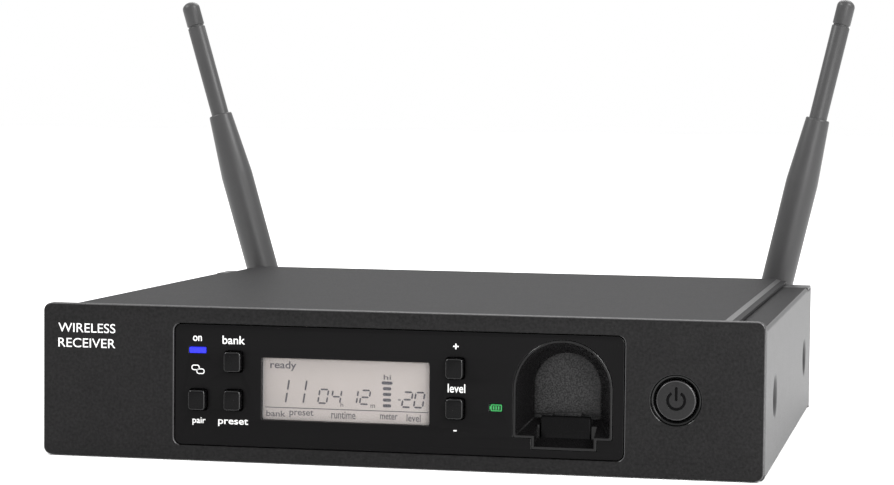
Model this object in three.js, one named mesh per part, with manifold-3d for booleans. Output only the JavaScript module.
// Half-rack wireless microphone receiver, as an assembly of its separate pieces.
// Millimetres. +Z is up, -Y is the front, +X is to the right as seen from the front.
// The origin is the middle of the underside of the housing.

import * as THREE from 'three';
import { mergeVertices } from 'three/addons/utils/BufferGeometryUtils.js';
import Module from 'manifold-3d';

const wasm = await Module();
wasm.setup();

// ---------------------------------------------------------------- driving dimensions

const WIDTH = 197;
const DEPTH = 163;
const FRONT = -DEPTH / 2;
const REAR = DEPTH / 2;
const GAP = 0.3;

// Steel housing
const SHEET = 1;
const CASE_HALF = WIDTH / 2;
const CASE_TOP = 40;
const CASE_FRONT = FRONT + 3.3;
const CASE_BEND = 1.2;
const BAND_EDGE = 88;
const REAR_FLANGE = 14.3;
const REAR_INNER = REAR - SHEET;
const COVER_SHEET = 0.8;
const COVER_HALF = 90.6;
const COVER_LIP = CASE_TOP + GAP;
const COVER_RISE = 0.6;
const JOGGLE_OUTER = 89;
const JOGGLE_INNER = 87.2;

// Rack-ear fixing points in the side walls
const EAR_Y = { front: -50, rear: 56 };
const EAR_Z = 19;
const DISH_RADIUS = 6.5;
const DISH_DEPTH = 1.4;

// Front bezel and control panel
const BEZEL = { bottom: 0.2, top: 41.8, thick: 3, corner: 2.2, bevel: 0.45 };
const PANEL = { left: -61.05, right: 61.65, bottom: 4.35, top: 37, corner: 1.9 };
const PANEL_GAP = 0.25;
const PANEL_FACE = FRONT + 0.4;
const PANEL_BACK = FRONT + 2.9;
const PANEL_FLANGE_BACK = FRONT + 4.3;

// Display
const LCD = { left: -36.75, right: 9.5, bottom: 11.75, top: 28.5 };
const LCD_BORDER = 2.4;
const LCD_POCKET = FRONT + 1.8;

// Push buttons
const BUTTON_WIDTH = 4.8;
const BUTTON_HEIGHT = 5.4;
const BUTTON_PROUD = 2;
const BUTTON_TRAVEL = 0.8;
const BUTTONS = {
  group_button: [-44.5, 27.2],
  channel_button: [-44.5, 16.8],
  link_button: [-54.45, 16.65],
  gain_up_button: [16.5, 27.3],
  gain_down_button: [16.6, 16.6],
};

// Lenses of the two indicator lights
const LAMPS = {
  rf_led_lens: { left: -57.05, right: -52.3, bottom: 29.2, top: 30.85, finish: 'blueLens' },
  battery_led_lens: { left: 25.75, right: 29.3, bottom: 16.15, top: 18.2, finish: 'greenLens' },
};

// Power button
const POWER_X = 75.4;
const POWER_Z = 20.7;
const POWER_CAP = 5.25;
const POWER_RING = 6.6;
const POWER_TRAVEL = 1.2;

// Circuit boards
const BOARD = 1.6;
const CONTROL_BOARD_Y = FRONT + 9;
const MAIN_BOARD_Z = 5;
const MAIN_BOARD_TOP = MAIN_BOARD_Z + BOARD;

// Battery charging bay
const BAY_X = 45.45;
const BAY_FRONT = PANEL_FACE - 0.15;
const BAY_MOUTH = { half: 13.2, bottom: 9.5, top: 35.9 };
const BAY_RIM = 0.7;
const BAY_NOTCH = { left: 37.2, right: 54.55, bottom: 6.55 };
const THROAT = { half: 9, bottom: 14, top: 31.6 };
const THROAT_Y = FRONT + 7.5;
const DOOR_Y = FRONT + 9.6;
const DOOR_THICK = 1.4;
const DOOR_PIN_Z = 13.7;
const DOOR_PIN_RADIUS = 0.6;
const TUNNEL = { half: 9.7, bottom: 11.9, top: 32.3 };
const TUNNEL_WALL = 1.2;
const TUNNEL_END = FRONT + 67;
const LATCH = { left: 38.75, right: 52.1, bottom: 9.3, top: 14.9 };
const LATCH_Y = FRONT + 5.4;
const LATCH_THICK = 1.7;
const LATCH_FOOT_Z = 5;

// Rear connectors
const XLR_X = -30;
const XLR_Z = 20.5;
const XLR_SCREW = { x: 9.5, z: 12 };
const AUX_X = 5;
const AUX_Z = 20.5;
const DC_X = 38;
const DC_Z = 12.4;
const USB_X = 22;
const HOOK_X = 54;

// Antennas: each jack's place, and how far its blade leans outwards
const ANTENNAS = {
  left: { x: -86.45, lean: -16.3 },
  right: { x: 82.1, lean: 12.95 },
};
const ANTENNA_Z = 21.7;
const PIVOT_Y = REAR + 15;
const BLADE = { foot: 8.2, straight: 52.5, top: 74, rod: 105.9, tip: 114.2 };
const BLADE_RADIUS = { foot: 5.3, top: 3.9, rod: 2.95, groove: 2.6 };

// ---------------------------------------------------------------- solids

function toSolid(geometry) {
  const bare = geometry.clone();
  bare.deleteAttribute('normal');
  bare.deleteAttribute('uv');
  const merged = mergeVertices(bare, 1e-4);
  return new wasm.Manifold(
    new wasm.Mesh({
      numProp: 3,
      vertProperties: merged.attributes.position.array,
      triVerts: new Uint32Array(merged.index.array),
    }),
  );
}

function toGeometry(solid) {
  const mesh = solid.getMesh();
  const geometry = new THREE.BufferGeometry();
  geometry.setAttribute('position', new THREE.BufferAttribute(mesh.vertProperties, 3));
  geometry.setIndex(new THREE.BufferAttribute(mesh.triVerts, 1));
  const flat = geometry.toNonIndexed();
  flat.computeVertexNormals();
  return flat;
}

function join(first, ...others) {
  return others.reduce((whole, piece) => whole.add(piece), first);
}

function cut(first, ...tools) {
  return tools.reduce((whole, tool) => whole.subtract(tool), first);
}

function box(x0, x1, y0, y1, z0, z1) {
  const geometry = new THREE.BoxGeometry(x1 - x0, y1 - y0, z1 - z0);
  geometry.translate((x0 + x1) / 2, (y0 + y1) / 2, (z0 + z1) / 2);
  return toSolid(geometry);
}

// A round bar or cone along Y, from (x, y0, z) with radius r0 to y1 with radius r1.
function barY(x, z, y0, y1, r0, r1 = r0, sides = 18) {
  const geometry = new THREE.CylinderGeometry(r1, r0, y1 - y0, sides);
  geometry.translate(x, (y0 + y1) / 2, z);
  return toSolid(geometry);
}

function barX(y, z, x0, x1, r0, r1 = r0, sides = 16) {
  const geometry = new THREE.CylinderGeometry(r0, r1, x1 - x0, sides);
  geometry.rotateZ(Math.PI / 2);
  geometry.translate((x0 + x1) / 2, y, z);
  return toSolid(geometry);
}

function barZ(x, y, z0, z1, r0, r1 = r0, sides = 10) {
  const geometry = new THREE.CylinderGeometry(r1, r0, z1 - z0, sides);
  geometry.rotateX(Math.PI / 2);
  geometry.translate(x, y, (z0 + z1) / 2);
  return toSolid(geometry);
}

// A shape drawn in X and Z, extruded along Y. A bevel stays inside the outline.
function prismY(shape, y0, y1, segments = 4, bevel = 0) {
  const geometry = new THREE.ExtrudeGeometry(shape, {
    depth: y1 - y0 - 2 * bevel,
    curveSegments: segments,
    bevelEnabled: bevel > 0,
    bevelThickness: bevel,
    bevelSize: bevel,
    bevelOffset: -bevel,
    bevelSegments: 1,
  });
  geometry.rotateX(Math.PI / 2);
  geometry.translate(0, y1 - bevel, 0);
  return toSolid(geometry);
}

// A shape drawn in Y and Z, extruded along X.
function prismX(shape, x0, x1, segments = 4) {
  const geometry = new THREE.ExtrudeGeometry(shape, {
    depth: x1 - x0,
    curveSegments: segments,
    bevelEnabled: false,
  });
  const axes = new THREE.Matrix4().makeBasis(
    new THREE.Vector3(0, 1, 0),
    new THREE.Vector3(0, 0, 1),
    new THREE.Vector3(1, 0, 0),
  );
  geometry.applyMatrix4(axes);
  geometry.translate(x0, 0, 0);
  return toSolid(geometry);
}

// A solid turned about the Y axis line through (x, z). Its profile runs from the axis back to it.
function turnedY(x, z, profile, sides = 16) {
  const points = profile.map(([radius, along]) => new THREE.Vector2(radius, along));
  const geometry = new THREE.LatheGeometry(points, sides);
  geometry.translate(x, 0, z);
  const solid = toSolid(geometry);
  if (solid.volume() > 0) return solid;
  const turned = new THREE.LatheGeometry([...points].reverse(), sides);
  turned.translate(x, 0, z);
  return toSolid(turned);
}

function polygon(points) {
  return new THREE.Shape(points.map(([a, b]) => new THREE.Vector2(a, b)));
}

function roundedRectangle(left, right, bottom, top, radius) {
  const shape = new THREE.Shape();
  shape.moveTo(left + radius, bottom);
  shape.lineTo(right - radius, bottom);
  shape.absarc(right - radius, bottom + radius, radius, -Math.PI / 2, 0, false);
  shape.lineTo(right, top - radius);
  shape.absarc(right - radius, top - radius, radius, 0, Math.PI / 2, false);
  shape.lineTo(left + radius, top);
  shape.absarc(left + radius, top - radius, radius, Math.PI / 2, Math.PI, false);
  shape.lineTo(left, bottom + radius);
  shape.absarc(left + radius, bottom + radius, radius, Math.PI, 1.5 * Math.PI, false);
  return shape;
}

// A flat-bottomed arch: straight sides under a half circle.
function arch(centre, half, bottom, top) {
  const shape = new THREE.Shape();
  shape.moveTo(centre - half, bottom);
  shape.lineTo(centre + half, bottom);
  shape.absarc(centre, top - half, half, 0, Math.PI, false);
  shape.lineTo(centre - half, bottom);
  return shape;
}

// The space between two outlines with the same number of points, one at each Y.
function loftY(frontShape, y0, rearShape, y1, segments) {
  const front = frontShape.getPoints(segments).slice(0, -1);
  const rear = rearShape.getPoints(segments).slice(0, -1);
  const count = front.length;
  const place = (points, y) => points.flatMap((point) => [point.x, y, point.y]);
  const faces = THREE.ShapeUtils.triangulateShape(front, []);
  const index = [];
  for (const [a, b, c] of faces) {
    index.push(a, b, c);
    index.push(count + a, count + c, count + b);
  }
  for (let i = 0; i < count; i++) {
    const next = (i + 1) % count;
    index.push(i, count + i, next);
    index.push(next, count + i, count + next);
  }
  const geometry = new THREE.BufferGeometry();
  const positions = new Float32Array([...place(front, y0), ...place(rear, y1)]);
  geometry.setAttribute('position', new THREE.BufferAttribute(positions, 3));
  geometry.setIndex(index);
  return toSolid(geometry);
}

// A round wire or cable along a smooth line through the given points.
function tube(curve, radius, steps, sides) {
  const section = new THREE.Shape();
  section.absarc(0, 0, radius, 0, 2 * Math.PI, false);
  return new THREE.ExtrudeGeometry(section, {
    steps,
    extrudePath: curve,
    curveSegments: sides / 2,
    bevelEnabled: false,
  });
}

class Coil extends THREE.Curve {
  constructor(radius, length, turns) {
    super();
    this.radius = radius;
    this.length = length;
    this.turns = turns;
  }
  getPoint(t, target = new THREE.Vector3()) {
    const angle = 2 * Math.PI * this.turns * t;
    return target.set(
      this.radius * Math.cos(angle),
      this.radius * Math.sin(angle),
      this.length * t,
    );
  }
}

// ---------------------------------------------------------------- materials and nodes

const receiver = new THREE.Group();

const FINISHES = {
  powderCoat: [0x46464a, 0.5, 0.3],
  blackSatin: [0x39393c, 0.55, 0],
  panelPlastic: [0x202023, 0.42, 0],
  keyRubber: [0x18181a, 0.55, 0],
  clear: [0xd8dce0, 0.08, 0],
  liquidCrystal: [0xc4bfba, 0.35, 0],
  diffuser: [0xf2f2ee, 0.6, 0],
  blueLens: [0x2a3cff, 0.3, 0],
  greenLens: [0x25c24a, 0.3, 0],
  doorPlastic: [0x4a4a4c, 0.7, 0],
  springSteel: [0xb9bcc0, 0.3, 1],
  nickel: [0xc9c8c2, 0.3, 1],
  gold: [0xd7b45a, 0.3, 1],
  boardGreen: [0x1d5a34, 0.5, 0],
  cableGrey: [0x9c9c9a, 0.6, 0],
  cableBlack: [0x1a1a1a, 0.5, 0],
  antennaPlastic: [0x3c3c3e, 0.5, 0],
};

function node(name, geometry, finish, parent = receiver) {
  const [color, roughness, metalness] = FINISHES[finish];
  const material = new THREE.MeshStandardMaterial({ color, roughness, metalness });
  const mesh = new THREE.Mesh(geometry, material);
  mesh.name = name;
  parent.add(mesh);
  return mesh;
}

function solidNode(name, solid, finish, parent) {
  return node(name, toGeometry(solid), finish, parent);
}

// ---------------------------------------------------------------- housing

// The bent steel tray: floor, side walls and the two bands along the top.
function makeChassis() {
  const inner = CASE_BEND - SHEET;
  const quarter = Math.PI / 2;
  const side = CASE_HALF - CASE_BEND;
  const top = CASE_TOP - CASE_BEND;
  const section = new THREE.Shape();
  section.moveTo(BAND_EDGE, CASE_TOP);
  section.lineTo(BAND_EDGE, CASE_TOP - SHEET);
  section.lineTo(side, CASE_TOP - SHEET);
  section.absarc(side, top, inner, quarter, 0, true);
  section.lineTo(CASE_HALF - SHEET, CASE_BEND);
  section.absarc(side, CASE_BEND, inner, 0, -quarter, true);
  section.lineTo(-side, SHEET);
  section.absarc(-side, CASE_BEND, inner, -quarter, -2 * quarter, true);
  section.lineTo(-CASE_HALF + SHEET, top);
  section.absarc(-side, top, inner, 2 * quarter, quarter, true);
  section.lineTo(-BAND_EDGE, CASE_TOP - SHEET);
  section.lineTo(-BAND_EDGE, CASE_TOP);
  section.lineTo(-side, CASE_TOP);
  section.absarc(-side, top, CASE_BEND, quarter, 2 * quarter, false);
  section.lineTo(-CASE_HALF, CASE_BEND);
  section.absarc(-side, CASE_BEND, CASE_BEND, 2 * quarter, 3 * quarter, false);
  section.lineTo(side, 0);
  section.absarc(side, CASE_BEND, CASE_BEND, -quarter, 0, false);
  section.lineTo(CASE_HALF, top);
  section.absarc(side, top, CASE_BEND, 0, quarter, false);
  let tray = prismY(section, CASE_FRONT, REAR_INNER - GAP, 2);
  const cutTop = CASE_TOP - SHEET - GAP;
  tray = cut(tray, box(-WIDTH, WIDTH, REAR - REAR_FLANGE - GAP, REAR, cutTop, CASE_TOP + 1));
  for (const [x, y] of [[-84, -52], [84, -52], [-84, 50], [84, 58], [0, -52], [60, 20], [-30, 0]]) {
    tray = join(tray, barZ(x, y, SHEET / 2, MAIN_BOARD_Z - 0.1, 2.6));
  }
  for (const y of Object.values(EAR_Y)) {
    for (const hand of [-1, 1]) {
      tray = makeDish(tray, hand, y);
    }
  }
  solidNode('chassis', tray, 'powderCoat');
}

// One pressed dish in a side wall, with the hole for its clinch nut.
function makeDish(tray, hand, y) {
  const along = (a, b, ra, rb = ra) =>
    hand > 0 ? barX(y, EAR_Z, a, b, ra, rb) : barX(y, EAR_Z, -b, -a, rb, ra);
  const floor = CASE_HALF - DISH_DEPTH;
  const backed = join(tray, along(floor - 1, CASE_HALF - SHEET / 2, DISH_RADIUS + 0.6));
  return cut(
    backed,
    along(floor, CASE_HALF + 0.01, 3.4, DISH_RADIUS),
    along(floor - 2, floor + 0.5, 2.35),
  );
}

function makeClinchNuts() {
  const floor = CASE_HALF - DISH_DEPTH;
  for (const [side, hand] of [['left', -1], ['right', 1]]) {
    for (const [place, y] of Object.entries(EAR_Y)) {
      const along = (a, b, r) =>
        hand > 0 ? barX(y, EAR_Z, a, b, r) : barX(y, EAR_Z, -b, -a, r);
      const body = join(along(floor - 2.6, floor - 0.1, 2.2), along(floor - 2.6, floor - 1.2, 3.4));
      solidNode(`rack_nut_${side}_${place}`, cut(body, along(floor - 3, floor, 1.4)), 'nickel');
    }
  }
}

// The lid: a raised middle stepped down to a lip that lies on the bands.
function makeTopCover() {
  const lip = COVER_LIP + COVER_SHEET;
  const right = [
    [COVER_HALF, COVER_LIP],
    [COVER_HALF, lip],
    [JOGGLE_OUTER, lip],
    [JOGGLE_INNER, lip + COVER_RISE],
  ];
  const under = [
    [-JOGGLE_INNER + 0.2, COVER_LIP + COVER_RISE],
    [-JOGGLE_OUTER + 0.2, COVER_LIP],
  ];
  const mirror = ([x, z]) => [-x, z];
  const outline = [
    ...right,
    ...[...right].reverse().map(mirror),
    ...[...under].reverse(),
    ...under.map(mirror),
  ];
  const sheet = prismY(polygon(outline), CASE_FRONT, REAR - 1.5);
  const hem = box(-JOGGLE_INNER, JOGGLE_INNER, REAR - 2.5, REAR - 1.5, COVER_LIP, lip);
  solidNode('top_cover', join(sheet, hem), 'powderCoat');
}

// The back plate: its top folds forward over the tray, and two tabs lie inside the side walls.
function makeRearPanel() {
  const bend = 1.5;
  const section = new THREE.Shape();
  section.moveTo(REAR, 0);
  section.lineTo(REAR, CASE_TOP - bend);
  section.absarc(REAR - bend, CASE_TOP - bend, bend, 0, Math.PI / 2, false);
  section.lineTo(REAR - REAR_FLANGE, CASE_TOP);
  section.lineTo(REAR - REAR_FLANGE, CASE_TOP - SHEET);
  section.lineTo(REAR_INNER, CASE_TOP - SHEET);
  section.lineTo(REAR_INNER, 0);
  let panel = prismX(section, -CASE_HALF, CASE_HALF);
  for (const hand of [-1, 1]) {
    const x = hand * (CASE_HALF - SHEET - GAP - SHEET / 2);
    panel = join(panel, box(x - SHEET / 2, x + SHEET / 2, REAR - 12, REAR_INNER + 0.2, 4, 36));
  }
  const deep = [REAR_INNER - 1, REAR + 1];
  const holes = [
    barY(XLR_X, XLR_Z, ...deep, 12.1, 12.1, 24),
    barY(AUX_X, AUX_Z, ...deep, 5.1),
    barY(DC_X, DC_Z, ...deep, 4.6),
    box(USB_X - 4.4, USB_X + 4.4, ...deep, MAIN_BOARD_TOP, MAIN_BOARD_TOP + 3.7),
    box(HOOK_X - 1.6, HOOK_X + 1.6, ...deep, 13.4, 16.6),
  ];
  for (const { x } of Object.values(ANTENNAS)) holes.push(barY(x, ANTENNA_Z, ...deep, 3.4));
  for (const hand of [-1, 1]) {
    holes.push(barY(XLR_X + hand * XLR_SCREW.x, XLR_Z + hand * XLR_SCREW.z, ...deep, 1.6, 1.6, 12));
  }
  solidNode('rear_panel', cut(panel, ...holes), 'powderCoat');
}

// ---------------------------------------------------------------- front

function makeBezel() {
  const back = FRONT + BEZEL.thick;
  const half = WIDTH / 2;
  const face = roundedRectangle(-half, half, BEZEL.bottom, BEZEL.top, BEZEL.corner);
  const plate = prismY(face, FRONT, back, 3, BEZEL.bevel);
  const collar = roundedRectangle(-96.6, 96.6, 1.3, 38.7, 1);
  const hollow = roundedRectangle(-95.4, 95.4, 2.3, 37.7, 1);
  const rim = cut(
    prismY(collar, back - 0.5, back + 6, 2),
    prismY(hollow, back - 1, back + 7, 2),
    box(BAY_X - 10, BAY_X + 10, back + 0.1, back + 7, 0, 3),
  );
  const opening = roundedRectangle(
    PANEL.left - PANEL_GAP,
    PANEL.right + PANEL_GAP,
    PANEL.bottom - PANEL_GAP,
    PANEL.top + PANEL_GAP,
    PANEL.corner + PANEL_GAP,
  );
  const bezel = cut(
    join(plate, rim),
    prismY(opening, FRONT - 1, back + 0.5, 3),
    barY(POWER_X, POWER_Z, FRONT - 1, back + 0.5, POWER_RING + 0.1, POWER_RING + 0.1, 28),
  );
  solidNode('front_bezel', bezel, 'powderCoat');
}

// The control panel, with its openings, its flange behind the bezel and four posts for its board.
function makeControlPanel() {
  const { left, right, bottom, top, corner } = PANEL;
  const flange = roundedRectangle(left - 1.3, right + 1.3, bottom - 1.3, top + 0.3, 1);
  let panel = join(
    prismY(roundedRectangle(left, right, bottom, top, corner), PANEL_FACE, PANEL_BACK + 0.2, 3),
    prismY(flange, FRONT + BEZEL.thick + 0.1, PANEL_FLANGE_BACK, 2),
  );
  for (const [x, z] of [[-58, 34.5], [-58, 8], [26, 34.5], [26, 8]]) {
    panel = join(panel, barY(x, z, PANEL_BACK, CONTROL_BOARD_Y - 0.1, 1.8, 1.8, 12));
  }
  const front = PANEL_FACE - 1;
  const back = PANEL_FLANGE_BACK + 1;
  const window = box(LCD.left, LCD.right, front, back, LCD.bottom, LCD.top);
  const border = LCD_BORDER + 0.3;
  const pocket = box(
    LCD.left - border,
    LCD.right + border,
    LCD_POCKET,
    back,
    LCD.bottom - border,
    LCD.top + border,
  );
  const keyholes = Object.values(BUTTONS).map(([x, z]) => {
    const halfWidth = BUTTON_WIDTH / 2 + 0.15;
    const halfHeight = BUTTON_HEIGHT / 2 + 0.15;
    return prismY(
      roundedRectangle(x - halfWidth, x + halfWidth, z - halfHeight, z + halfHeight, 0.7),
      front,
      back,
      1,
    );
  });
  const { half, bottom: sill, top: crown } = BAY_MOUTH;
  const bay = join(
    prismY(arch(BAY_X, half + 0.12, sill - 0.12, crown + 0.12), front, back, 12),
    box(BAY_NOTCH.left - 0.12, BAY_NOTCH.right + 0.12, front, back, BAY_NOTCH.bottom - 0.12, 15),
  );
  const around = 0.1;
  const lights = Object.values(LAMPS).map((lamp) =>
    box(
      lamp.left - around,
      lamp.right + around,
      front,
      back,
      lamp.bottom - around,
      lamp.top + around,
    ),
  );
  solidNode('control_panel', cut(panel, window, pocket, bay, ...keyholes, ...lights), 'panelPlastic');
}

function makeDisplay() {
  const { left, right, bottom, top } = LCD;
  const inset = 0.15;
  const window = prismY(
    roundedRectangle(left + inset, right - inset, bottom + inset, top - inset, 0.2),
    PANEL_FACE + 0.2,
    LCD_POCKET - 0.1,
    1,
  );
  solidNode('lcd_window', window, 'clear');
  const layer = (y0, y1, border) =>
    box(left - border, right + border, y0, y1, bottom - border, top + border);
  const glassBack = LCD_POCKET + 1.9;
  solidNode('lcd_panel', layer(LCD_POCKET + 0.1, glassBack, LCD_BORDER), 'liquidCrystal');
  solidNode('lcd_backlight', layer(glassBack + 0.2, CONTROL_BOARD_Y - 0.4, LCD_BORDER), 'diffuser');
}

function makeIndicators() {
  for (const [name, { left, right, bottom, top, finish }] of Object.entries(LAMPS)) {
    const face = roundedRectangle(left, right, bottom, top, 0.3);
    solidNode(name, prismY(face, PANEL_FACE - 0.1, CONTROL_BOARD_Y - 0.9, 1), finish);
  }
}

// A key: a cap through the panel, a shoulder behind it and a stem for the switch.
function makeButtons() {
  for (const [name, [x, z]] of Object.entries(BUTTONS)) {
    const halfWidth = BUTTON_WIDTH / 2;
    const halfHeight = BUTTON_HEIGHT / 2;
    const capBack = PANEL_FLANGE_BACK + 0.2;
    const cap = prismY(
      roundedRectangle(x - halfWidth, x + halfWidth, z - halfHeight, z + halfHeight, 0.6),
      PANEL_FACE - BUTTON_PROUD,
      capBack + 0.1,
      2,
      0.35,
    );
    const shoulder = box(x - 3.3, x + 3.3, capBack - 0.3 + GAP, capBack + 0.8, z - 3.5, z + 3.5);
    const stem = barY(x, z, capBack + 0.5, capBack + 1.1, 1.3, 1.3, 12);
    solidNode(name, join(cap, shoulder, stem), 'keyRubber');
  }
}

function makePowerButton() {
  const plateBack = FRONT + BEZEL.thick;
  const ring = turnedY(
    POWER_X,
    POWER_Z,
    [
      [POWER_CAP + 0.15, FRONT + 0.8],
      [POWER_RING, FRONT + 0.8],
      [POWER_RING, plateBack + 0.1],
      [POWER_RING + 1, plateBack + 0.1],
      [POWER_RING + 1, plateBack + 0.7],
      [POWER_CAP + 0.15, plateBack + 0.7],
      [POWER_CAP + 0.15, FRONT + 0.8],
    ],
    28,
  );
  solidNode('power_button_ring', ring, 'keyRubber');
  const stemBack = FRONT + 9.5 - POWER_TRAVEL - 0.2;
  const button = turnedY(
    POWER_X,
    POWER_Z,
    [
      [0, FRONT + 0.1],
      [POWER_CAP - 0.35, FRONT + 0.1],
      [POWER_CAP, FRONT + 0.45],
      [POWER_CAP, plateBack + 1],
      [POWER_CAP + 0.8, plateBack + 1],
      [POWER_CAP + 0.8, plateBack + 1.9],
      [2.6, plateBack + 1.9],
      [2.6, stemBack],
      [0, stemBack],
    ],
    28,
  );
  solidNode('power_button', button, 'blackSatin');
  const body = box(POWER_X - 6, POWER_X + 6, FRONT + 9.5, FRONT + 20.5, MAIN_BOARD_TOP + 0.2, 27);
  solidNode('power_switch', body, 'keyRubber');
}

// The upright board: five tact switches, two lamps and a header for the ribbon.
function makeControlBoard() {
  let board = box(-59.5, 30.5, CONTROL_BOARD_Y, CONTROL_BOARD_Y + BOARD, 5.5, 36.5);
  const switchFront = PANEL_FLANGE_BACK + 0.2 + 1.1 + BUTTON_TRAVEL + 0.1;
  for (const [x, z] of Object.values(BUTTONS)) {
    board = join(board, box(x - 3, x + 3, switchFront, CONTROL_BOARD_Y + 0.1, z - 3, z + 3));
  }
  for (const { left, right, bottom, top } of Object.values(LAMPS)) {
    const x = (left + right) / 2;
    const z = (bottom + top) / 2;
    board = join(board, box(x - 1, x + 1, CONTROL_BOARD_Y - 0.6, CONTROL_BOARD_Y + 0.1, z - 0.6, z + 0.6));
  }
  const back = CONTROL_BOARD_Y + BOARD;
  board = join(
    board,
    box(-21, 1, back - 0.1, back + 2.4, 9.5, 14),
    box(-50, -38, back - 0.1, back + 1, 18, 30),
    box(8, 20, back - 0.1, back + 1.2, 20, 32),
  );
  solidNode('control_board', board, 'boardGreen');
}

// ---------------------------------------------------------------- charging bay

function makeBayHousing() {
  const { half, bottom, top } = BAY_MOUTH;
  const bodyEnd = DOOR_Y - 0.8;
  const outer = join(
    prismY(arch(BAY_X, half, bottom, top), BAY_FRONT, bodyEnd, 12),
    box(BAY_NOTCH.left, BAY_NOTCH.right, BAY_FRONT, bodyEnd, BAY_NOTCH.bottom, 15),
    prismY(
      roundedRectangle(BAY_X - half - 1, BAY_X + half + 1, BAY_NOTCH.bottom, top + 1, 1),
      PANEL_FLANGE_BACK + 0.2,
      PANEL_FLANGE_BACK + 1.5,
      2,
    ),
    prismY(
      arch(
        BAY_X,
        TUNNEL.half + TUNNEL_WALL,
        TUNNEL.bottom - TUNNEL_WALL,
        TUNNEL.top + TUNNEL_WALL,
      ),
      bodyEnd - 0.5,
      TUNNEL_END,
      12,
    ),
  );
  // The funnel narrows from the mouth to the throat that the door closes against.
  const over = 0.5;
  const slope = (THROAT.half - (half - BAY_RIM)) / (THROAT_Y - BAY_FRONT);
  const reach = -over * slope;
  const funnel = loftY(
    arch(BAY_X, half - BAY_RIM + reach, bottom + BAY_RIM - reach, top - BAY_RIM + reach),
    BAY_FRONT - over,
    arch(BAY_X, THROAT.half, THROAT.bottom, THROAT.top),
    THROAT_Y,
    12,
  );
  const throat = prismY(
    arch(BAY_X, THROAT.half, THROAT.bottom, THROAT.top),
    THROAT_Y - 0.2,
    DOOR_Y,
    12,
  );
  const tunnel = prismY(
    arch(BAY_X, TUNNEL.half, TUNNEL.bottom, TUNNEL.top),
    bodyEnd,
    TUNNEL_END + 1,
    12,
  );
  // The finger notch slopes up to the latch, which moves in a slot right through the floor.
  const notchLeft = BAY_NOTCH.left + BAY_RIM;
  const notchRight = BAY_NOTCH.right - BAY_RIM;
  const notchSection = polygon([
    [BAY_FRONT - over, 16],
    [BAY_FRONT - over, BAY_NOTCH.bottom + BAY_RIM],
    [BAY_FRONT + 2, BAY_NOTCH.bottom + BAY_RIM],
    [LATCH_Y - 0.3, LATCH.bottom - 0.2],
    [LATCH_Y - 0.3, 16],
  ]);
  const notch = prismX(notchSection, notchLeft, notchRight);
  const slot = box(
    LATCH.left - 0.35,
    LATCH.right + 0.35,
    LATCH_Y - 0.35,
    LATCH_Y + LATCH_THICK + 0.35,
    0,
    16,
  );
  const pinHole = barX(
    DOOR_Y + DOOR_THICK / 2,
    DOOR_PIN_Z,
    BAY_X - 12.5,
    BAY_X + 12.5,
    DOOR_PIN_RADIUS + 0.1,
    DOOR_PIN_RADIUS + 0.1,
    12,
  );
  const housing = cut(outer, funnel, throat, tunnel, notch, slot, pinHole);
  solidNode('charging_bay_housing', housing, 'panelPlastic');
}

// The flap, its pin and its coiled return spring. The flap swings inwards about its straight edge.
function makeDoor() {
  const y = DOOR_Y;
  const pinY = DOOR_Y + DOOR_THICK / 2;
  const half = TUNNEL.half - 0.35;
  const plate = prismY(arch(BAY_X, half, DOOR_PIN_Z, TUNNEL.top - 0.35), y, y + DOOR_THICK, 12);
  const knuckle = barX(pinY, DOOR_PIN_Z, BAY_X - half, BAY_X + half, 1.3, 1.3, 16);
  const springSpace = box(BAY_X - 3.3, BAY_X + 3.3, y - 3, y + 5, 10, DOOR_PIN_Z + 1.4);
  const pinRun = barX(pinY, DOOR_PIN_Z, BAY_X - 12, BAY_X + 12, 0.66, 0.66, 12);
  solidNode('battery_door', cut(join(plate, knuckle), springSpace, pinRun), 'doorPlastic');
  const pin = barX(pinY, DOOR_PIN_Z, BAY_X - 10.7, BAY_X + 10.7, 0.6, 0.6, 12);
  solidNode('door_pin', pin, 'springSteel');
  const spring = node('door_spring', tube(new Coil(1.05, 5.6, 5), 0.16, 40, 4), 'springSteel');
  spring.rotation.y = Math.PI / 2;
  spring.position.set(BAY_X - 2.8, pinY, DOOR_PIN_Z);
}

// The latch stands in front of the battery's lower edge and is pressed down to free it.
function makeLatch() {
  const { left, right, bottom, top } = LATCH;
  const back = LATCH_Y + LATCH_THICK;
  const section = polygon([
    [LATCH_Y, LATCH_FOOT_Z],
    [back, LATCH_FOOT_Z],
    [back, top],
    [LATCH_Y + 0.7, top],
    [LATCH_Y, top - 0.9],
  ]);
  const foot = box(left - 1.2, right + 1.2, LATCH_Y, back, LATCH_FOOT_Z, LATCH_FOOT_Z + 1.4);
  const middle = LATCH_Y + LATCH_THICK / 2;
  const peg = barZ(BAY_X, middle, LATCH_FOOT_Z - 1.5, LATCH_FOOT_Z + 0.2, 0.8, 0.8, 12);
  solidNode('battery_latch', join(prismX(section, left, right), foot, peg), 'keyRubber');
  const height = LATCH_FOOT_Z - SHEET - 0.5;
  const spring = node('latch_spring', tube(new Coil(1.6, height - 0.4, 3), 0.2, 27, 4), 'springSteel');
  spring.position.set(BAY_X, middle, SHEET + 0.45);
}

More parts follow.
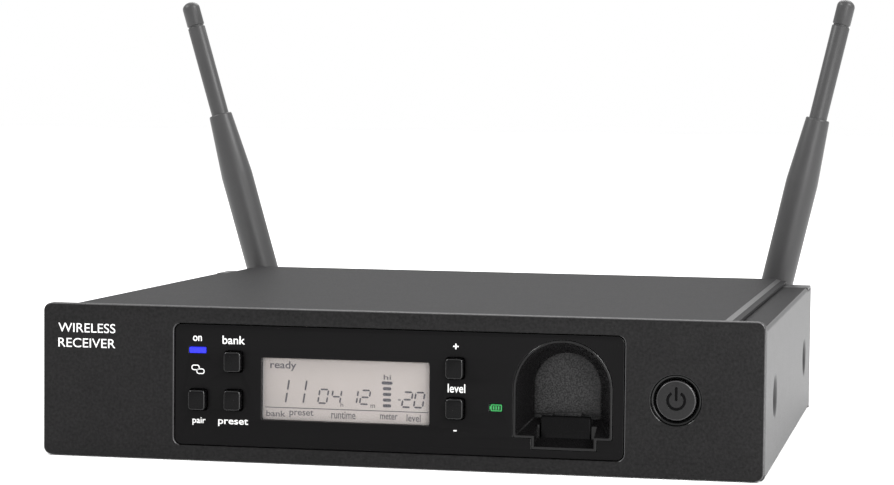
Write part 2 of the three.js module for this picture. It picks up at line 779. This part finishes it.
// The block at the end of the tunnel and its three sprung contacts.
function makeContacts() {
  const half = TUNNEL.half - 0.4;
  const front = TUNNEL_END - 5;
  const plug = box(BAY_X - 7.5, BAY_X + 7.5, front, TUNNEL_END + 5, TUNNEL.bottom + 0.4, 27);
  const flange = box(BAY_X - half, BAY_X + half, TUNNEL_END + 0.3, TUNNEL_END + 5, 9, 33);
  const foot = box(BAY_X - 8, BAY_X + 8, TUNNEL_END + 0.3, TUNNEL_END + 5, MAIN_BOARD_TOP + 0.2, 10);
  let block = join(plug, flange, foot);
  const spread = 4.6;
  for (const step of [-1, 0, 1]) {
    const x = BAY_X + step * spread;
    block = cut(block, box(x - 1.1, x + 1.1, front - 1, TUNNEL_END + 6, 14.7, 16.1));
  }
  solidNode('contact_block', block, 'keyRubber');
  for (const step of [-1, 0, 1]) {
    const x = BAY_X + step * spread;
    const blade = polygon([
      [TUNNEL_END + 6.5, 15.1],
      [TUNNEL_END + 6.5, 15.7],
      [front - 0.9, 15.7],
      [front - 2.2, 19],
      [front - 0.9, 22.5],
      [front - 1.5, 22.5],
      [front - 2.9, 19],
      [front - 1.6, 15.1],
    ]);
    solidNode(`charge_contact_${step + 2}`, prismX(blade, x - 0.8, x + 0.8), 'gold');
  }
}

// ---------------------------------------------------------------- inside

// The main board with its soldered parts: capacitors, regulators, chips and headers.
function makeMainBoard() {
  let board = box(-92, 92, FRONT + 15, REAR - 4, MAIN_BOARD_Z, MAIN_BOARD_TOP);
  const rise = MAIN_BOARD_TOP - 0.1;
  const blocks = [
    [-21, 1, -60, -56, 9.3],
    [-70, -46, 12, 15, 11.8],
    [-74, -70.5, 38, 42, 11.8],
    [-8, 8, -28, -12, 8.4],
    [14, 26, 2, 14, 8.2],
    [66, 78, -30, -12, 14],
    [64, 80, 14, 34, 16],
    [-60, -48, -40, -28, 8.4],
    [-84, -72, -36, -20, 12],
  ];
  for (const [x0, x1, y0, y1, top] of blocks) {
    board = join(board, box(x0, x1, y0, y1, rise, top));
  }
  const capacitors = [
    [70, 2, 4, 19],
    [84, -2, 4, 19],
    [20, 32, 3.2, 15],
    [-34, -44, 3, 14],
  ];
  for (const [x, y, radius, top] of capacitors) {
    board = join(board, barZ(x, y, rise, top, radius));
  }
  for (let i = 0; i < 5; i++) {
    board = join(board, box(-30 + i * 6, -27.5 + i * 6, 30, 31.4, rise, MAIN_BOARD_TOP + 0.8));
  }
  solidNode('main_board', board, 'boardGreen');
}

function makeRadio() {
  const under = 12;
  const top = under + 1;
  let board = box(-78, -38, 8, 48, under, top);
  for (const x of [-72, -44]) {
    board = join(board, box(x - 1.8, x + 1.8, 44.5, 47.9, top - 0.1, top + 3));
  }
  solidNode('rf_board', board, 'boardGreen');
  const can = box(-76, -40, 10, 42, top + 0.2, top + 5);
  solidNode('rf_shield', cut(can, box(-75.5, -40.5, 10.5, 41.5, top, top + 4.5)), 'nickel');
}

function makeCables() {
  const ribbon = polygon([
    [-70.3 + 2.5, 12.1],
    [-63.5, 12.1],
    [-59.6, 11.4],
    [-57.8, 9.5],
    [-57.4, 9.7],
    [-59.3, 11.8],
    [-63.4, 12.5],
    [-70.3 + 2.5, 12.5],
  ]);
  solidNode('ribbon_cable', prismX(ribbon, -20, 0), 'cableGrey');
  const tail = REAR - 13;
  const z = ANTENNA_Z;
  const routes = {
    coax_left: [
      [ANTENNAS.left.x, tail, z],
      [ANTENNAS.left.x, tail - 7, z],
      [-84, 57, 18.5],
      [-76, 55.5, 15.2],
      [-72, 52, 14.6],
      [-72, 48.2, 14.6],
    ],
    coax_right: [
      [ANTENNAS.right.x, tail, z],
      [ANTENNAS.right.x, tail - 7, z],
      [78, 54, 23],
      [55, 50.5, 24],
      [20, 50.5, 24],
      [-18, 52, 22],
      [-38, 57, 16.5],
      [-44, 53, 14.6],
      [-44, 48.2, 14.6],
    ],
  };
  for (const [name, route] of Object.entries(routes)) {
    const curve = new THREE.CatmullRomCurve3(route.map((point) => new THREE.Vector3(...point)));
    node(name, tube(curve, 0.9, 24, 6), 'cableBlack');
  }
}

// ---------------------------------------------------------------- rear connectors

function makeXlr() {
  const flange = roundedRectangle(XLR_X - 13, XLR_X + 13, XLR_Z - 15.5, XLR_Z + 15.5, 2);
  const bore = 9.4;
  let shell = join(
    prismY(flange, REAR + 0.3, REAR + 1.9, 3),
    barY(XLR_X, XLR_Z, REAR - 20, REAR + 1.9, 11.8, 11.8, 24),
  );
  shell = cut(shell, barY(XLR_X, XLR_Z, REAR - 21, REAR + 3, bore, bore, 24));
  let insert = barY(XLR_X, XLR_Z, REAR - 19.5, REAR - 13.5, bore - 0.15, bore - 0.15, 24);
  for (const angle of [30, 150, 270]) {
    const radians = (angle * Math.PI) / 180;
    const x = XLR_X + 4 * Math.cos(radians);
    const z = XLR_Z + 4 * Math.sin(radians);
    insert = join(insert, barY(x, z, REAR - 22, REAR - 3.4, 1.2, 1.2, 12));
  }
  // Two countersunk screws, with their heads just below the flange's face.
  [-1, 1].forEach((hand, index) => {
    const x = XLR_X + hand * XLR_SCREW.x;
    const z = XLR_Z + hand * XLR_SCREW.z;
    shell = cut(shell, barY(x, z, REAR, REAR + 0.5, 1.45, 1.45, 16));
    shell = cut(shell, barY(x, z, REAR + 0.45, REAR + 2, 1.45, 3, 16));
    const screw = join(
      barY(x, z, REAR - 5, REAR + 0.6, 1.3, 1.3, 16),
      barY(x, z, REAR + 0.5, REAR + 1.85, 1.3, 2.65, 16),
    );
    const slot = box(x - 0.3, x + 0.3, REAR + 1.25, REAR + 3, z - 1.6, z + 1.6);
    const cross = box(x - 1.6, x + 1.6, REAR + 1.25, REAR + 3, z - 0.3, z + 0.3);
    solidNode(`xlr_screw_${index + 1}`, cut(screw, slot, cross), 'nickel');
  });
  solidNode('xlr_shell', shell, 'blackSatin');
  solidNode('xlr_insert', insert, 'nickel');
}

function makeAuxJack() {
  const body = box(AUX_X - 7.5, AUX_X + 7.5, REAR - 26, REAR_INNER - 0.3, MAIN_BOARD_TOP + 0.2, 28);
  const collar = barY(AUX_X, AUX_Z, REAR_INNER - 1, REAR + 4.4, 4.8);
  const bore = barY(AUX_X, AUX_Z, REAR - 23, REAR + 5, 3.25);
  solidNode('aux_jack', cut(join(body, collar), bore), 'blackSatin');
  const nut = cut(
    barY(AUX_X, AUX_Z, REAR + 0.3, REAR + 2.7, 7, 7, 6),
    barY(AUX_X, AUX_Z, REAR, REAR + 3, 4.9),
  );
  solidNode('aux_nut', nut, 'nickel');
}

function makePowerInlet() {
  const body = box(DC_X - 4.6, DC_X + 4.6, REAR - 15, REAR_INNER - 0.3, MAIN_BOARD_TOP + 0.2, 18);
  const collar = barY(DC_X, DC_Z, REAR_INNER - 1, REAR + 0.3, 4.4);
  const bore = barY(DC_X, DC_Z, REAR - 12, REAR + 1, 3.1);
  const pin = barY(DC_X, DC_Z, REAR - 12.5, REAR - 1.5, 1, 1, 12);
  solidNode('dc_jack', join(cut(join(body, collar), bore), pin), 'blackSatin');
  // The hook that takes the strain of the supply's lead.
  const out = REAR + 0.3;
  const hook = polygon([
    [out, 10],
    [out + 1.2, 10],
    [out + 1.2, 14],
    [out + 7.5, 14],
    [out + 7.5, 21.5],
    [out + 6, 21.5],
    [out + 6, 16.5],
    [out + 1.2, 16.5],
    [out + 1.2, 25],
    [out, 25],
  ]);
  const stub = box(HOOK_X - 1.4, HOOK_X + 1.4, REAR_INNER - 1.2, out + 0.5, 13.6, 16.4);
  solidNode('cord_hook', join(prismX(hook, HOOK_X - 4, HOOK_X + 4), stub), 'blackSatin');
}

function makeUsbPort() {
  const bottom = MAIN_BOARD_TOP + 0.2;
  const shell = box(USB_X - 4, USB_X + 4, REAR - 7, REAR + 0.1, bottom, bottom + 3);
  const mouth = box(USB_X - 3.5, USB_X + 3.5, REAR - 5.5, REAR + 1, bottom + 0.5, bottom + 2.5);
  const tongue = box(USB_X - 2.4, USB_X + 2.4, REAR - 6, REAR - 1, bottom + 1.4, bottom + 1.9);
  solidNode('usb_port', join(cut(shell, mouth), tongue), 'nickel');
}

// ---------------------------------------------------------------- antennas

// The threaded jack in the rear panel and the knurled nut that holds the antenna on it.
function makeAntennaJack(side, x) {
  const jack = turnedY(x, ANTENNA_Z, [
    [0, REAR - 12.7],
    [1.9, REAR - 12.7],
    [1.9, REAR - 7.5],
    [3.1, REAR - 7.5],
    [3.1, REAR - 3.5],
    [4.6, REAR - 3.5],
    [4.6, REAR_INNER - 0.3],
    [3.1, REAR_INNER - 0.3],
    [3.1, REAR + 5.9],
    [1.9, REAR + 5.9],
    [1.9, REAR + 2],
    [0, REAR + 2],
  ]);
  solidNode(`antenna_jack_${side}`, jack, 'gold');
  const nut = turnedY(
    x,
    ANTENNA_Z,
    [
      [3.35, REAR + 1.5],
      [4.8, REAR + 1.5],
      [5.1, REAR + 1.9],
      [5.1, REAR + 7.7],
      [4.7, REAR + 8.1],
      [2.35, REAR + 8.1],
      [2.35, REAR + 6.9],
      [3.35, REAR + 6.9],
      [3.35, REAR + 1.5],
    ],
    20,
  );
  solidNode(`antenna_nut_${side}`, nut, 'antennaPlastic');
}

// The fork that turns in the nut, the elbow pin, and the blade: a tapered sleeve and its rod.
function makeAntenna(side, { x, lean }) {
  makeAntennaJack(side, x);
  const group = new THREE.Group();
  group.position.set(x, PIVOT_Y, ANTENNA_Z);
  group.rotation.y = (lean * Math.PI) / 180;
  receiver.add(group);

  const back = REAR - PIVOT_Y;
  const ear = new THREE.Shape();
  ear.moveTo(back + 8.8, -5.2);
  ear.lineTo(0, -5.2);
  ear.absarc(0, 0, 5.2, -Math.PI / 2, Math.PI / 2, false);
  ear.lineTo(back + 8.8, 5.2);
  ear.lineTo(back + 8.8, -5.2);
  const tongueHalf = 2.5;
  const earInner = tongueHalf + 0.3;
  const earOuter = 5.4;
  const fork = join(
    barY(0, 0, back + 6, back + 6.6, 3.1),
    barY(0, 0, back + 6.5, back + 8.9, 2.05),
    barY(0, 0, back + 8.4, back + 10, 6.1),
    prismX(ear, -earOuter, -earInner, 5),
    prismX(ear, earInner, earOuter, 5),
  );
  const pinHole = barX(0, 0, -8, 8, 1.3, 1.3, 16);
  solidNode(`antenna_swivel_${side}`, cut(fork, pinHole), 'antennaPlastic', group);
  solidNode(`antenna_pin_${side}`, barX(0, 0, -5.2, 5.2, 1.2, 1.2, 16), 'springSteel', group);

  const tongue = new THREE.Shape();
  tongue.moveTo(-4.6, BLADE.foot + 1);
  tongue.lineTo(-4.6, 0);
  tongue.absarc(0, 0, 4.6, Math.PI, 2 * Math.PI, false);
  tongue.lineTo(4.6, BLADE.foot + 1);
  tongue.lineTo(-4.6, BLADE.foot + 1);
  const profile = [
    [0, BLADE.foot],
    [BLADE_RADIUS.foot - 0.6, BLADE.foot],
    [BLADE_RADIUS.foot, BLADE.foot + 0.8],
    [BLADE_RADIUS.foot, BLADE.straight],
    [BLADE_RADIUS.top + 0.1, BLADE.top - 0.6],
    [BLADE_RADIUS.top - 0.3, BLADE.top],
    [0, BLADE.top],
  ];
  const turned = new THREE.LatheGeometry(profile.map(([r, z]) => new THREE.Vector2(r, z)), 20);
  turned.rotateX(Math.PI / 2);
  const rodFoot = BLADE.top - 19;
  const sleeve = cut(
    join(toSolid(turned), prismX(tongue, -tongueHalf, tongueHalf, 5)),
    pinHole,
    barZ(0, 0, rodFoot - 0.3, BLADE.top + 1, BLADE_RADIUS.rod + 0.1, BLADE_RADIUS.rod + 0.1, 16),
  );
  solidNode(`antenna_sleeve_${side}`, sleeve, 'antennaPlastic', group);
  const { rod, groove } = BLADE_RADIUS;
  const mast = [
    [0, rodFoot],
    [rod, rodFoot],
    [rod, BLADE.rod - 0.6],
    [groove, BLADE.rod - 0.4],
    [groove, BLADE.rod],
    [rod, BLADE.rod + 0.3],
    [rod, BLADE.tip - 2],
    [rod * 0.75, BLADE.tip - 0.7],
    [rod * 0.4, BLADE.tip - 0.1],
    [0, BLADE.tip],
  ];
  const rodShape = new THREE.LatheGeometry(mast.map(([r, z]) => new THREE.Vector2(r, z)), 16);
  rodShape.rotateX(Math.PI / 2);
  node(`antenna_rod_${side}`, rodShape, 'antennaPlastic', group);
}

// ---------------------------------------------------------------- assembly

makeChassis();
makeClinchNuts();
makeTopCover();
makeRearPanel();
makeBezel();
makeControlPanel();
makeDisplay();
makeIndicators();
makeButtons();
makePowerButton();
makeControlBoard();
makeBayHousing();
makeDoor();
makeLatch();
makeContacts();
makeMainBoard();
makeRadio();
makeCables();
makeXlr();
makeAuxJack();
makePowerInlet();
makeUsbPort();
for (const [side, antenna] of Object.entries(ANTENNAS)) makeAntenna(side, antenna);

export default receiver;
